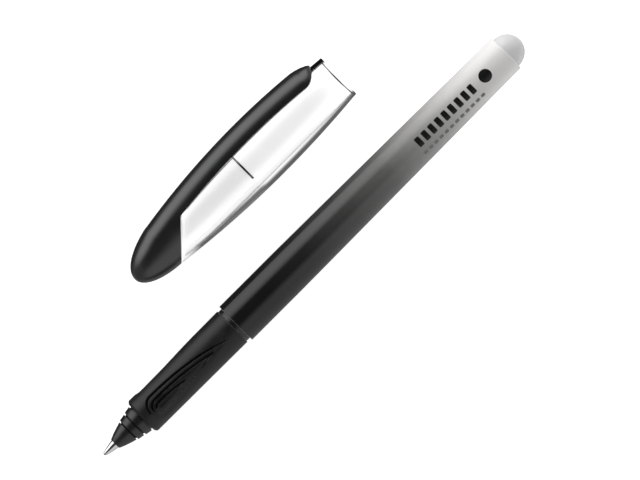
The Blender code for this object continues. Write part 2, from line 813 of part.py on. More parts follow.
def build():
    for old in list(bpy.data.objects):
        bpy.data.objects.remove(old, do_unlink=True)

    middle_across = (CAP_OFFSET + CLIP_CREST - BARREL_RADIUS) / 2
    pen = add_axis("pen_axis", (-PEN_LENGTH / 2, -middle_across, BARREL_RADIUS))
    cap_nose = CAP_NOSE_STATION - PEN_LENGTH / 2
    cap = add_axis("cap_axis", (cap_nose, CAP_OFFSET - middle_across, CAP_BELLY_RADIUS))

    carbide = material("carbide", (0.5, 0.5, 0.52), 0.1, 1.0)
    steel = material("bright_steel", (0.78, 0.78, 0.8), 0.15, 1.0)
    nose_black = material("nose_plastic", (0.03, 0.03, 0.03), 0.4)
    rubber = material("grip_rubber", (0.045, 0.045, 0.045), 0.75)
    white = material("white_plastic", (0.8, 0.8, 0.78), 0.4)
    fibre = material("wick_fibre", (0.5, 0.5, 0.48), 0.9)
    collector_grey = material("collector_plastic", (0.25, 0.25, 0.26), 0.5)
    sleeve_clear = material("sleeve_plastic", (0.8, 0.82, 0.84), 0.2, alpha=0.4)
    cartridge_blue = material("cartridge_plastic", (0.05, 0.08, 0.35), 0.3)
    seal = material("seal_glass", (0.7, 0.72, 0.75), 0.2)
    barrel_gloss = material("barrel_gloss", (0.3, 0.3, 0.29), 0.15)
    plug_milky = material("plug_plastic", (0.86, 0.86, 0.85), 0.3)
    clear = material("clear_plastic", (0.93, 0.94, 0.95), 0.05, alpha=0.3)
    crown_black = material("crown_plastic", (0.035, 0.035, 0.035), 0.35)

    add_part("writing_ball", writing_ball(), pen, BALL_RADIUS, carbide)
    add_part("point_cone", point_cone(), pen, 0, steel)
    add_part("point_adapter", point_adapter(), pen, 0, white)
    add_part("ink_wick", ink_wick(), pen, 0, fibre)
    add_part("nose_cone", nose_cone(), pen, 0, nose_black)
    add_part("ink_collector", ink_collector(), pen, 0, collector_grey)
    add_part("collector_sleeve", collector_sleeve(), pen, 0, sleeve_clear)
    add_part("piercing_tube", piercing_tube(), pen, 0, steel)
    add_part("section_core", section_core(), pen, 0, nose_black)
    add_part("grip_sleeve", grip_sleeve(), pen, 0, rubber)

    working = cartridge(WORKING_STATION, True)
    add_part("cartridge_shell", working, pen, WORKING_STATION, cartridge_blue)
    loose_ball = seal_ball(LOOSE_BALL_STATION)
    loose = add_part("cartridge_ball", loose_ball, pen, LOOSE_BALL_STATION, seal)
    inside = (CARTRIDGE_RADIUS - CARTRIDGE_WALL) * math.cos(math.pi / 24)
    loose.location.z = -(inside - SEAL_BALL_RADIUS - 0.05) * MM

    add_part("spare_shell", cartridge(SPARE_STATION, False), pen, SPARE_STATION, cartridge_blue)
    add_part("spare_ball", seal_ball(SPARE_STATION - SEAL_DEPTH), pen, SPARE_STATION, seal)
    add_part("barrel_tube", barrel_tube(), pen, BARREL_START, barrel_gloss)
    add_part("tail_plug", tail_plug(), pen, BARREL_START, plug_milky)

    add_part("cap_shell", cap_shell(), cap, CAP_LENGTH, clear)
    add_part("inner_cap", inner_cap(), cap, CAP_LENGTH, clear)
    add_part("cap_crown", cap_crown(), cap, CAP_LENGTH, crown_black)
    add_part("clip_arm", clip_arm(), cap, CLIP_HINGE_STATION, crown_black, CLIP_HINGE_HEIGHT)


build()
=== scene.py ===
"""The looks of a cartridge rollerball pen with its cap beside it, built around the frame.

The pen lies along X with its point toward -X, the cap lies parallel to it on the +Y side,
and the floor is Z = 0. Shapes are worked out in millimetres. A "station" is a distance
along the pen from its point, or along the cap from its nose. A "height" is a distance from
the cap's axis toward its clip.
"""

import json
from math import acos, cos, degrees, hypot, pi, radians, sin, sqrt, tau

import bmesh
import bpy
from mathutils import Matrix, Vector

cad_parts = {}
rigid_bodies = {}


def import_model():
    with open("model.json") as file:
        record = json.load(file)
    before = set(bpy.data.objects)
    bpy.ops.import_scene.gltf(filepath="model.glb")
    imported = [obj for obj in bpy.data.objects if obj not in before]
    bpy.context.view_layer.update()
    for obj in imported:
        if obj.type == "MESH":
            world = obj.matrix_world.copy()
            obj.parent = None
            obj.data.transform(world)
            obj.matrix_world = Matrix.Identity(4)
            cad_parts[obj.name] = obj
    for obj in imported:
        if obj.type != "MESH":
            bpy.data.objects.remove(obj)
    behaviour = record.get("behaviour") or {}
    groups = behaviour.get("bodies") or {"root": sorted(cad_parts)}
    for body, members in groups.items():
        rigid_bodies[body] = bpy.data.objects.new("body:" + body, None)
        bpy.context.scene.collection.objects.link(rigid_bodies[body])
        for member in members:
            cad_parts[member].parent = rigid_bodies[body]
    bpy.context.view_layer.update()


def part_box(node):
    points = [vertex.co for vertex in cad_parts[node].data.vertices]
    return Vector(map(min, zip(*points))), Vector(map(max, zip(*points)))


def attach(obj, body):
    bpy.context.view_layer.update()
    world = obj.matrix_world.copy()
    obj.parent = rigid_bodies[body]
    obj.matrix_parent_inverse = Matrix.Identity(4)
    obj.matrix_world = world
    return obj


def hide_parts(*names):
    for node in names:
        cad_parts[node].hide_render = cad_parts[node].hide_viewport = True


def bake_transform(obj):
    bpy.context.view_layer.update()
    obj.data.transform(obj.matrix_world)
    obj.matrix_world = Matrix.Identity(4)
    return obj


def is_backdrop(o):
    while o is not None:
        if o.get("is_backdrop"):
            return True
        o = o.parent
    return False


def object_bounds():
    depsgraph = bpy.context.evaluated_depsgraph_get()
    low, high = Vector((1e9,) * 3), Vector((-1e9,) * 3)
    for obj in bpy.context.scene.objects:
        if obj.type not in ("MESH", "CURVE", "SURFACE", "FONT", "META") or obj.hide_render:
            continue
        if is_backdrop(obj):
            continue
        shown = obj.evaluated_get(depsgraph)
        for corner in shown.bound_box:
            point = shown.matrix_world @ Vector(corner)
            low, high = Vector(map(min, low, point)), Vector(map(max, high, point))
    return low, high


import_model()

MM = 0.001


# ---- what the frame says ----


def middle(node):
    low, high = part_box(node)
    return (low + high) / 2


def axis_origin(first, round_node):
    """The tip of one node, moved onto the axis of a round one."""
    axis = middle(round_node)
    return Vector((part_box(first)[0].x, axis.y, axis.z))


PEN = axis_origin("writing_ball", "barrel_tube")
CAP = axis_origin("cap_crown", "cap_shell")


def extent(node, origin=PEN):
    """A node's first and last station and its radius, in millimetres."""
    low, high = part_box(node)
    first, last = (low.x - origin.x) / MM, (high.x - origin.x) / MM
    return first, last, (high.z - low.z) / 2 / MM


CONE_END = extent("point_cone")[1]
NOSE_START, NOSE_SPIGOT_END, NOSE_RADIUS = extent("nose_cone")
CORE_START, CORE_END, _ = extent("section_core")
GRIP_START, GRIP_END, GRIP_RADIUS = extent("grip_sleeve")
BARREL_START, BARREL_END, BARREL_RADIUS = extent("barrel_tube")
PLUG_START, PEN_LENGTH, PLUG_RADIUS = extent("tail_plug")
COLLECTOR_START, COLLECTOR_END, COLLECTOR_FIN_RADIUS = extent("ink_collector")
SLEEVE_START, SLEEVE_END, SLEEVE_RADIUS = extent("collector_sleeve")
WICK_START, WICK_END, WICK_RADIUS = extent("ink_wick")
ADAPTER_START, ADAPTER_END, ADAPTER_RADIUS = extent("point_adapter")
TUBE_START, TUBE_END, TUBE_FLANGE = extent("piercing_tube")
CARTRIDGE_START, CARTRIDGE_END, CARTRIDGE_RADIUS = extent("cartridge_shell")
SPARE_END = extent("spare_shell")[1]
BALL_RADIUS = extent("writing_ball")[2]
BEAD_RADIUS = extent("cartridge_ball")[2]
_, CAP_LENGTH, CAP_BELLY_RADIUS = extent("cap_shell", CAP)
_, INNER_CAP_RIM, INNER_CAP_RADIUS = extent("inner_cap", CAP)
CROWN_END = extent("cap_crown", CAP)[1]
CLIP_END = extent("clip_arm", CAP)[1]
CLIP_CREST = (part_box("clip_arm")[1].y - CAP.y) / MM

# ---- what the shapes add to it ----

WICK_BORE = 0.52
SHANK_RADIUS, SHANK_HOLE = 1.075, 1.14  # the steel point's shank, and the hole for it in the nose
CHANNEL_RADIUS = 0.15  # of the ink channel behind the ball
NECK_RADIUS = 4.38
CORE_RADIUS = 3.6
CORE_BORE = 3.0
CORE_WAIST, CORE_WAIST_START, CORE_WAIST_END = 3.2, 13.8, 27.0  # room for the grip's grooves
CORE_REAR_RADIUS = 4.1
CORE_STEP = 33.0
SLEEVE_PLAY = 0.05  # between the core and the grip
BARREL_STRAIGHT_END = 56.0
BARREL_TAIL_RADIUS = 4.54
PLUG_SEAT = 121.6

GRIP_FRONT_RADIUS = 4.5
FLATTENING = 1.7  # of the grip's front edge: 1 is round and 2 is a straight chamfer
LEAF_COUNT = 3
LEAF_FIRST_ANGLE = 103.0  # degrees around the axis, from +Y toward +Z
# each nested leaf: half angle toward +Y and -Y, front, widest and pointed end, depth of its
# step, and the width of the step on the side toward -Y
LEAVES = (
    (42.9, 42.9, 13.3, 15.9, 36.8, 0.26, 1.3),
    (27.4, 20.5, 14.25, 16.4, 33.2, 0.22, 0.1),
    (12.9, 12.9, 15.1, 16.8, 24.6, 0.2, 1.0),
)
LEAF_WALL = 0.16  # width of the step on the other side
LEAF_GROOVE_WIDTH, LEAF_GROOVE_DEPTH = 0.6, 0.5

THREAD_SIDES = 96
THREAD_STARTS = 2
THREAD_LEAD = 3.0
THREAD_RISE = THREAD_LEAD / THREAD_SIDES
THREAD_DATUM = 40.6
CORE_THREAD_ROOT, CORE_THREAD_CREST = 4.15, 4.5
BARREL_THREAD_ROOT, BARREL_THREAD_CREST = 4.6, 4.25
# where each start's ridge begins, tops out, falls and ends, in sides of a turn
RIDGE = (0, 6, 15, 21)
CORE_THREAD_SPAN = (0, 180)
BARREL_THREAD_SPAN = (12, 228)

CAP_BELLY = 38.7  # station of the widest ring
CAP_BORE_MOUTH, CAP_BORE_DEEP = 4.95, 4.8
STRAIGHT_START = 19.5  # nearer the nose than this, the bore follows the body
CAP_WALL = 0.8
CAP_END_WALL = 1.1  # from the split plane to the bore's slanting end
INNER_CAP_BORE = 3.75
INNER_CAP_GAP = 0.12
INNER_CAP_WALL = 0.97
BLUNT_END = 9.5  # the nose is blunt up to here, and a shallow arc from here on
# the blunt nose's radius is the root of the station, times a first factor that shrinks with it
NOSE_FACTOR, NOSE_SHRINK = 2.05, 0.057
CREST_FACTOR, CREST_SHRINK = 2.4, 0.038
NOSE_FALL, MOUTH_FALL = 0.00223, 0.00197
CREST_NOSE_FALL, CREST_MOUTH_FALL = 0.0027, 0.0029
SKIRT_BELLY = 3.93  # height of the clip's lower edge at the belly
SKIRT_NOSE_FALL, SKIRT_MOUTH_FALL = 0.00266, 0.0031
TIP_STATION, TIP_HEIGHT = 59.3, 5.95
CREST_TAPER, SKIRT_TAPER = 4.8, 4.2  # lengths over which the clip narrows to its tip
CREST_ROUNDNESS, SKIRT_ROUNDNESS = 0.65, 2.2  # exponents of the two curves that meet there
SPLIT_MIDDLE, SPLIT_SLOPE = 14.1, 0.96
SPLIT_SEAM = 0.3
CLIP_GAP, CLIP_LIP = 0.3, 0.3
COVER_CORNER, COVER_CORNER_SHARE = 4.2, 0.95  # corner radius, and its share of the width
CROWN_WIDENING = 1.04
LIP_START, LIP_END = 11.0, 18.0  # the clip's lower edge comes out from the crown here

SIDES = 128


# ---- building tools ----


class Skin:
    """Vertices welded by position and the faces between them, in millimetres."""

    def __init__(self):
        self.mesh = bmesh.new()
        self.found = {}

    def vertex(self, point):
        key = tuple(round(value, 5) for value in point)
        if key not in self.found:
            self.found[key] = self.mesh.verts.new(Vector(point) * MM)
        return self.found[key]

    def face(self, points):
        corners = list(dict.fromkeys(self.vertex(point) for point in points))
        if len(corners) > 2 and not self.mesh.faces.get(corners):
            self.mesh.faces.new(corners)

    def stack(self, rows):
        """Joins each row of points to the next, which has as many."""
        for row, after in zip(rows, rows[1:]):
            for side in range(len(row) - 1):
                self.face((row[side], after[side], after[side + 1], row[side + 1]))

    def wrap(self, rows, closed=False):
        """Joins each ring of points to the next, and the last to the first if closed."""
        rings = [[*row, row[0]] for row in rows]
        self.stack(rings + rings[:1] if closed else rings)
        return self


def ring_point(station, radius, angle):
    return station, radius * cos(angle), radius * sin(angle)


def around(station, radius, sides=SIDES):
    """A ring around the X axis. station and radius may be functions of the angle."""
    points = []
    for side in range(sides):
        angle = tau * side / sides
        size = radius(angle) if callable(radius) else radius
        along = station(angle) if callable(station) else station
        points.append(ring_point(along, size, angle))
    return points


def evenly(start, end, count):
    """Values from start to end, in count equal steps."""
    return [start + (end - start) * step / count for step in range(count + 1)]


def softened(outline, fillet=0.06, closed=True, steps=3):
    """Rounds the corners of an outline of (station, radius) points."""
    made = []
    count = len(outline)
    for index, corner in enumerate(outline):
        here = Vector(corner)
        if corner[1] == 0 or (not closed and index in (0, count - 1)):
            made.append(corner)
            continue
        before = Vector(outline[index - 1]) - here
        after = Vector(outline[(index + 1) % count]) - here
        cut = min(fillet, 0.45 * before.length, 0.45 * after.length)
        start = here + before.normalized() * cut
        end = here + after.normalized() * cut
        for share in evenly(0, 1, steps):
            made.append(tuple(start.lerp(here, share).lerp(here.lerp(end, share), share)))
    return made


def turned(outline, sides=SIDES, closed=True):
    """Turns an outline of (station, radius) points around the X axis."""
    return Skin().wrap([around(station, radius, sides) for station, radius in outline], closed)


def ball(middle_station, radius):
    outline = []
    for angle in evenly(0, pi, 24):
        outline.append((middle_station - radius * cos(angle), radius * sin(angle)))
    return turned(outline, 48, closed=False)


def smooth_step(value, low, high):
    share = min(max((value - low) / (high - low), 0.0), 1.0)
    return share * share * (3 - 2 * share)


def placed(name, data):
    made = bpy.data.objects.new(name, data)
    bpy.context.scene.collection.objects.link(made)
    return made


def make_piece(name, skin, origin, look, crease=40):
    """Makes the object, in place. Edges sharper than crease degrees stay sharp."""
    bmesh.ops.translate(skin.mesh, verts=skin.mesh.verts, vec=origin)
    bmesh.ops.recalc_face_normals(skin.mesh, faces=skin.mesh.faces)
    mesh = bpy.data.meshes.new(name)
    skin.mesh.to_mesh(mesh)
    skin.mesh.free()
    mesh.shade_smooth()
    mesh.set_sharp_from_angle(angle=radians(crease))
    mesh.materials.append(look)
    made = placed(name, mesh)
    made.modifiers.new("even_normals", "WEIGHTED_NORMAL").keep_sharp = True
    return made


def add_piece(name, skin, origin, look, slot, body, *nodes):
    """A rigid piece that rides on a body and stands for CAD nodes."""
    made = make_piece(name, skin, origin, look)
    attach(made, body)
    if nodes:
        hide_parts(*nodes)
    return made


# ---- screw thread ----


def add_thread(skin, span, root, crest, shift=0):
    """Wraps a multi-start thread between two plain rings of the root's radius.

    Rows follow the helix. One step along the axis is what the helix rises over one side,
    so every clamped end point falls on the same grid.
    """
    pitch = THREAD_SIDES // THREAD_STARTS
    first, last = span

    def point(row, side):
        ridge, corner = divmod(row, len(RIDGE))
        step = pitch * ridge + RIDGE[corner] + shift + side
        on_ridge = first < step < last and corner in (1, 2)
        along = THREAD_DATUM + THREAD_RISE * min(max(step, first), last)
        return ring_point(along, crest if on_ridge else root, tau * side / THREAD_SIDES)

    lowest = len(RIDGE) * ((first - shift - RIDGE[-1]) // pitch - THREAD_STARTS)
    highest = len(RIDGE) * ((last - shift) // pitch + 1)
    rows = range(lowest, highest + 1)
    skin.stack([[point(row, side) for side in range(THREAD_SIDES + 1)] for row in rows])
    return skin


def thread_ends(span):
    return [THREAD_DATUM + THREAD_RISE * step for step in span]


# ---- writing point and nose ----


def point_cone():
    """Drawn steel: crimped rim, ogive, straight shank, then the bore back to the seat."""
    rim, lip, seat = 0.2, 0.345, 0.385
    ogive_start, ogive_radius, fullness = 0.3, 0.46, 1.35
    outline = [(rim, 0.4), (0.22, 0.43)]
    for share in evenly(0, 1, 16)[1:]:
        swelling = (SHANK_RADIUS - ogive_radius) * (1 - (1 - share) ** fullness)
        outline.append((ogive_start + (NOSE_START - ogive_start) * share, ogive_radius + swelling))
    bore = [(CONE_END, SHANK_RADIUS), (CONE_END, WICK_BORE), (1.6, WICK_BORE)]
    bore += [(1.1, CHANNEL_RADIUS), (0.76, CHANNEL_RADIUS), (0.47, seat), (0.34, seat), (rim, lip)]
    return turned([*outline, *softened(bore, 0.03, closed=False)], 96)


def point_adapter():
    step, hole = 8.0, 1.13
    outline = [(ADAPTER_START, ADAPTER_RADIUS), (ADAPTER_END, ADAPTER_RADIUS)]
    outline += [(ADAPTER_END, WICK_BORE), (step, WICK_BORE), (step, hole), (ADAPTER_START, hole)]
    return turned(softened(outline), 64)


def ink_wick():
    outline = [(WICK_START, 0), (WICK_START, WICK_RADIUS), (WICK_END, WICK_RADIUS), (WICK_END, 0)]
    return turned(softened(outline, 0.1), 32, closed=False)


def nose_cone():
    """Three stepped rings parted by two grooves, with a spigot that plugs into the core."""
    end, groove = 11.12, 0.42
    neck, spigot, bore = 3.2, CORE_BORE - 0.05, 1.62
    shoulder = CORE_START - 0.05
    outline = [(NOSE_START, SHANK_HOLE), (NOSE_START, 1.3), (4.6, 1.8), (5.95, 2.27), (7.33, 2.66)]
    outline += [(7.37, 2.66 - groove), (7.66, 2.87 - groove), (7.7, 2.88), (9.17, 3.13)]
    outline += [(9.21, 3.13 - groove), (9.56, 3.28 - groove), (9.6, 3.3), (end, NOSE_RADIUS)]
    outline += [(end, neck), (shoulder, neck), (shoulder, spigot), (NOSE_SPIGOT_END, spigot)]
    outline += [(NOSE_SPIGOT_END, 2.5), (12.0, 2.5), (12.0, bore), (5.4, bore), (5.4, SHANK_HOLE)]
    return turned(softened(outline, 0.05))


# ---- section ----


def section_core():
    """The rigid tube inside the grip, with the neck ring and the male thread behind it."""
    thread_start, thread_end = thread_ends(CORE_THREAD_SPAN)
    rear, slope, seat, seat_end = GRIP_END + 0.03, 0.2, 3.72, 33.9
    outline = [(thread_end, CORE_THREAD_ROOT), (CORE_END, 4.0), (CORE_END, seat)]
    outline += [(seat_end, seat), (seat_end - 0.3, CORE_BORE), (CORE_START, CORE_BORE)]
    outline += [(CORE_START, CORE_RADIUS), (CORE_WAIST_START - slope, CORE_RADIUS)]
    outline += [(CORE_WAIST_START, CORE_WAIST), (CORE_WAIST_END, CORE_WAIST)]
    outline += [(CORE_WAIST_END + slope, CORE_RADIUS), (CORE_STEP, CORE_RADIUS)]
    outline += [(CORE_STEP + 0.3, CORE_REAR_RADIUS), (rear, CORE_REAR_RADIUS)]
    outline += [(rear, NECK_RADIUS), (BARREL_START - 0.04, NECK_RADIUS)]
    outline += [(BARREL_START, CORE_THREAD_ROOT), (thread_start, CORE_THREAD_ROOT)]
    skin = turned(softened(outline, 0.05, closed=False), THREAD_SIDES, closed=False)
    return add_thread(skin, CORE_THREAD_SPAN, CORE_THREAD_ROOT, CORE_THREAD_CREST)


def leaf_inside(station, turn, leaf):
    """About how far a point of the grip is inside a leaf's outline, in millimetres."""
    near_angle, far_angle, front, widest, point, *_ = leaf
    half_angle = far_angle if turn > 0 else near_angle
    half_width = radians(half_angle) * GRIP_FRONT_RADIUS
    if station < widest:
        length = widest - front
        share = max(1 - ((widest - station) / length) ** 2, 0.0)
        half = half_width * sqrt(share)
        slope = half_width * (widest - station) / length**2 / sqrt(max(share, 0.01))
        if station < front:
            return station - front
    else:
        length = point - widest
        reach = (station - widest) / length
        half = half_width * (1 - reach**2)
        slope = 2 * half_width * reach / length
    return (half - abs(turn)) / hypot(1, slope)


def leaf_depth(station, angle):
    """How deep the grip is moulded at a point: three nested leaves, each a step lower.

    The edge toward the front and to one side of each leaf is cut in as a narrow groove,
    and the other side is a soft step.
    """
    spacing = 360 / LEAF_COUNT
    off = (degrees(angle) - LEAF_FIRST_ANGLE + spacing / 2) % spacing - spacing / 2
    turn = radians(off) * GRIP_FRONT_RADIUS
    grooved = 1 - smooth_step(turn, -0.2, 0.5)
    depth = 0.0
    for leaf in LEAVES:
        inside = leaf_inside(station, turn, leaf)
        *_, widest, point, step, soft_wall = leaf
        fading = 1 - 0.6 * smooth_step(station, widest, point)
        wall = soft_wall + (LEAF_WALL - soft_wall) * grooved
        depth += step * fading * smooth_step(inside, 0, wall)
        across = inside / LEAF_GROOVE_WIDTH
        if 0 < across < 1:
            tail = 1 - smooth_step(station, point - 1.2, point)
            depth += LEAF_GROOVE_DEPTH * grooved * tail * sin(pi * across**0.6) ** 1.5
    return depth


def grip_sleeve():
    """A moulded rubber sleeve, with a nest of leaves for the thumb and each of two fingers."""
    sides = 320
    edge, rear_edge = 0.55, 0.15
    front, rear = GRIP_START + edge, GRIP_END - rear_edge
    # the leaves' front ends lie in the finely divided stretch
    fine_start, fine_end = 12.9, 17.0

    def plain(station):
        share = (station - GRIP_START) / (GRIP_END - GRIP_START)
        return GRIP_FRONT_RADIUS + (GRIP_RADIUS - GRIP_FRONT_RADIUS) * share

    stations = evenly(front, fine_start, 6)[:-1]
    stations += evenly(fine_start, fine_end, 44)[:-1] + evenly(fine_end, rear, 110)
    rows = []
    for swing in evenly(0, pi / 2, 6)[:-1]:
        radius = plain(front) - edge * (1 - sin(swing) ** FLATTENING)
        rows.append(around(front - edge * cos(swing) ** FLATTENING, radius, sides))
    for station in stations:
        radius = plain(station)
        rows.append(around(station, lambda angle: radius - leaf_depth(station, angle), sides))
    for swing in evenly(0, pi / 2, 4)[1:]:
        radius = plain(rear) - rear_edge * (1 - cos(swing))
        rows.append(around(rear + rear_edge * sin(swing), radius, sides))
    inside = [(GRIP_END, CORE_REAR_RADIUS), (CORE_STEP - 0.05, CORE_REAR_RADIUS)]
    inside += [(CORE_STEP - 0.4, CORE_RADIUS), (CORE_WAIST_END + 0.1, CORE_RADIUS)]
    inside += [(CORE_WAIST_END - 0.1, CORE_WAIST), (CORE_WAIST_START + 0.1, CORE_WAIST)]
    inside += [(CORE_WAIST_START - 0.1, CORE_RADIUS), (GRIP_START, CORE_RADIUS)]
    rows += [around(station, core + SLEEVE_PLAY, sides) for station, core in inside]
    return Skin().wrap(rows, closed=True)


# ---- ink system ----


def ink_collector():
    """A rod with thin fins that hold the ink which warmth drives out of the cartridge."""
    core, socket, socket_start = 1.3, 0.93, 30.5
    fins, first_fin, pitch, thickness = 11, 16.2, 1.3, 0.45
    outline = [(COLLECTOR_START, core)]
    for index in range(fins):
        start = first_fin + pitch * index
        end = start + thickness
        outline += [(start, core), (start, COLLECTOR_FIN_RADIUS)]
        outline += [(end, COLLECTOR_FIN_RADIUS), (end, core)]
    outline += [(COLLECTOR_END, core), (COLLECTOR_END, socket), (socket_start, socket)]
    outline += [(socket_start, WICK_BORE), (COLLECTOR_START, WICK_BORE)]
    return turned(softened(outline, 0.04, steps=2), 64)


def collector_sleeve():
    inside = SLEEVE_RADIUS - 0.21
    outline = [(SLEEVE_START, SLEEVE_RADIUS), (SLEEVE_END, SLEEVE_RADIUS)]
    outline += [(SLEEVE_END, inside), (SLEEVE_START, inside)]
    return turned(softened(outline), 64)


def piercing_tube():
    outside, bore, spike, flange_start, flange_end = 0.86, 0.45, 0.5, 32.5, 33.2
    outline = [(TUBE_START, outside), (flange_start, outside), (flange_start, TUBE_FLANGE)]
    outline += [(flange_end, TUBE_FLANGE), (flange_end, outside), (TUBE_END - spike, outside)]
    outline += [(TUBE_END, 0.6), (TUBE_END, bore), (TUBE_START, bore)]
    return turned(softened(outline, 0.04), 64)


def cartridge(mouth, way):
    """A thin-walled ink cartridge with a narrow neck. way is 1 where it runs to the tail."""
    length = CARTRIDGE_END - CARTRIDGE_START
    wall, bevel, neck_end, mouth_radius = 0.45, 0.5, 4.6, 1.35
    collar, collar_end, neck = 2.2, 0.7, 2.05
    body = neck_end + 0.4
    inside, floor = CARTRIDGE_RADIUS - wall, length - wall
    outline = [(0, mouth_radius), (0, collar), (collar_end, collar), (collar_end + 0.05, neck)]
    outline += [(neck_end, neck), (body, CARTRIDGE_RADIUS), (length - bevel, CARTRIDGE_RADIUS)]
    outline += [(length, CARTRIDGE_RADIUS - bevel), (length, 0), (floor, 0)]
    outline += [(floor, inside - bevel), (floor - bevel, inside), (body + wall, inside)]
    outline.append((neck_end + wall, mouth_radius))
    return turned([(mouth + way * along, radius) for along, radius in softened(outline, 0.3)], 96)


# ---- barrel ----


def barrel_radius(station):
    share = max(station - BARREL_STRAIGHT_END, 0) / (BARREL_END - BARREL_STRAIGHT_END)
    return BARREL_RADIUS + (BARREL_TAIL_RADIUS - BARREL_RADIUS) * share


def barrel_tube():
    """A tapered tube, threaded inside its front end and recessed at its tail for the plug."""
    thread_start, thread_end = thread_ends(BARREL_THREAD_SPAN)
    socket, tail_start = PLUG_RADIUS + 0.07, 120.0
    bore = [(thread_end, BARREL_THREAD_ROOT), (thread_end + 0.5, BARREL_THREAD_ROOT)]
    bore += [(50.0, 4.0), (75.0, 3.8), (PLUG_SEAT, 3.78), (PLUG_SEAT, socket)]
    tail = [(BARREL_END, socket), (BARREL_END, BARREL_TAIL_RADIUS)]
    tail.append((tail_start, barrel_radius(tail_start)))
    wall = [(step, barrel_radius(step)) for step in [*range(116, 56, -4), *range(56, 41, -3)]]
    front = [(41.0, BARREL_RADIUS), (BARREL_START, BARREL_RADIUS)]
    front.append((BARREL_START, BARREL_THREAD_ROOT))
    outline = [*bore, *softened(tail, 0.22, closed=False, steps=5), *wall]
    outline += softened(front, 0.12, closed=False, steps=5)
    outline.append((thread_start, BARREL_THREAD_ROOT))
    skin = turned(outline, THREAD_SIDES, closed=False)
    halfway = THREAD_SIDES // THREAD_STARTS // 2
    root, crest = BARREL_THREAD_ROOT, BARREL_THREAD_CREST
    return add_thread(skin, BARREL_THREAD_SPAN, root, crest, halfway)


def tail_plug():
    spigot, bevel = 3.7, 0.15
    seat = PLUG_SEAT + 0.1
    outline = [(PLUG_START, 0), (PLUG_START, 3.6), (PLUG_START + bevel, spigot)]
    outline += [(seat, spigot), (seat, PLUG_RADIUS)]
    for angle in evenly(0, pi / 2, 24):
        along = BARREL_END + (PEN_LENGTH - BARREL_END) * sin(angle)
        outline.append((along, PLUG_RADIUS * cos(angle)))
    return turned(outline, closed=False)


# ---- cap ----


def body_radius(station):
    """The cap's round body: a barrel shape with its belly at CAP_BELLY and a blunt nose."""
    if station < BLUNT_END:
        return sqrt(station) * (NOSE_FACTOR - NOSE_SHRINK * station)
    fall = NOSE_FALL if station < CAP_BELLY else MOUTH_FALL
    return CAP_BELLY_RADIUS - fall * (station - CAP_BELLY) ** 2


def crest_fade(station):
    """1 along the clip, falling to 0 in a round curve at its free end."""
    share = min(max(TIP_STATION - station, 0) / CREST_TAPER, 1)
    return (1 - (1 - share) ** 2) ** CREST_ROUNDNESS


def skirt_rise(station):
    """0 along the clip, rising to 1 at its free end."""
    share = 1 - (TIP_STATION - station) / SKIRT_TAPER
    return min(max(share, 0), 1) ** SKIRT_ROUNDNESS


def crest_height(station):
    """The top of the crown and clip over the cap's axis."""
    if station < BLUNT_END:
        return sqrt(station) * (CREST_FACTOR - CREST_SHRINK * station)
    fall = CREST_NOSE_FALL if station < CAP_BELLY else CREST_MOUTH_FALL
    height = CLIP_CREST - fall * (station - CAP_BELLY) ** 2
    return TIP_HEIGHT + (height - TIP_HEIGHT) * crest_fade(station)


def skirt_height(station):
    """The clip's lower edge over the cap's axis, which runs on as the foot of the flanks."""
    fall = SKIRT_NOSE_FALL if station < CAP_BELLY else SKIRT_MOUTH_FALL
    height = SKIRT_BELLY - fall * (station - CAP_BELLY) ** 2
    return height + (TIP_HEIGHT - height) * skirt_rise(station)


def split_plane(height):
    """The station of the slanting plane where the crown meets the clear body, at a height."""
    return min(SPLIT_MIDDLE + SPLIT_SLOPE * height, CROWN_END)


def settled(better, station=SPLIT_MIDDLE):
    """Where a station comes to rest when it's made better again and again."""
    for _ in range(20):
        station = better(station)
    return station


def cover_half_width(station):
    crown = CROWN_WIDENING * body_radius(station)
    edge = body_radius(station) + CLIP_GAP + CLIP_LIP
    clip = sqrt(max(edge**2 - skirt_height(station) ** 2, 0.01))
    return crown + (clip - crown) * smooth_step(station, LIP_START, LIP_END)


def upper_row(station, columns):
    """Points up one flank, over the crest and down the other."""
    crest, skirt = crest_height(station), skirt_height(station)
    half_width = cover_half_width(station)
    corner = min(COVER_CORNER, COVER_CORNER_SHARE * half_width, crest - skirt)
    height, across = crest - corner, half_width - corner
    flank_columns, corner_columns = columns // 8, columns // 4
    side = [(level, half_width) for level in evenly(skirt, height, flank_columns)[:-1]]
    for turn in evenly(0, pi / 2, corner_columns)[:-1]:
        side.append((height + corner * sin(turn), across + corner * cos(turn)))
    flat_columns = columns // 2 - flank_columns - corner_columns
    side += [(crest, across * (1 - step / flat_columns)) for step in range(flat_columns)]
    other = [(height, -across) for height, across in side[::-1]]
    return [(station, height, across) for height, across in [*side, (crest, 0.0), *other]]


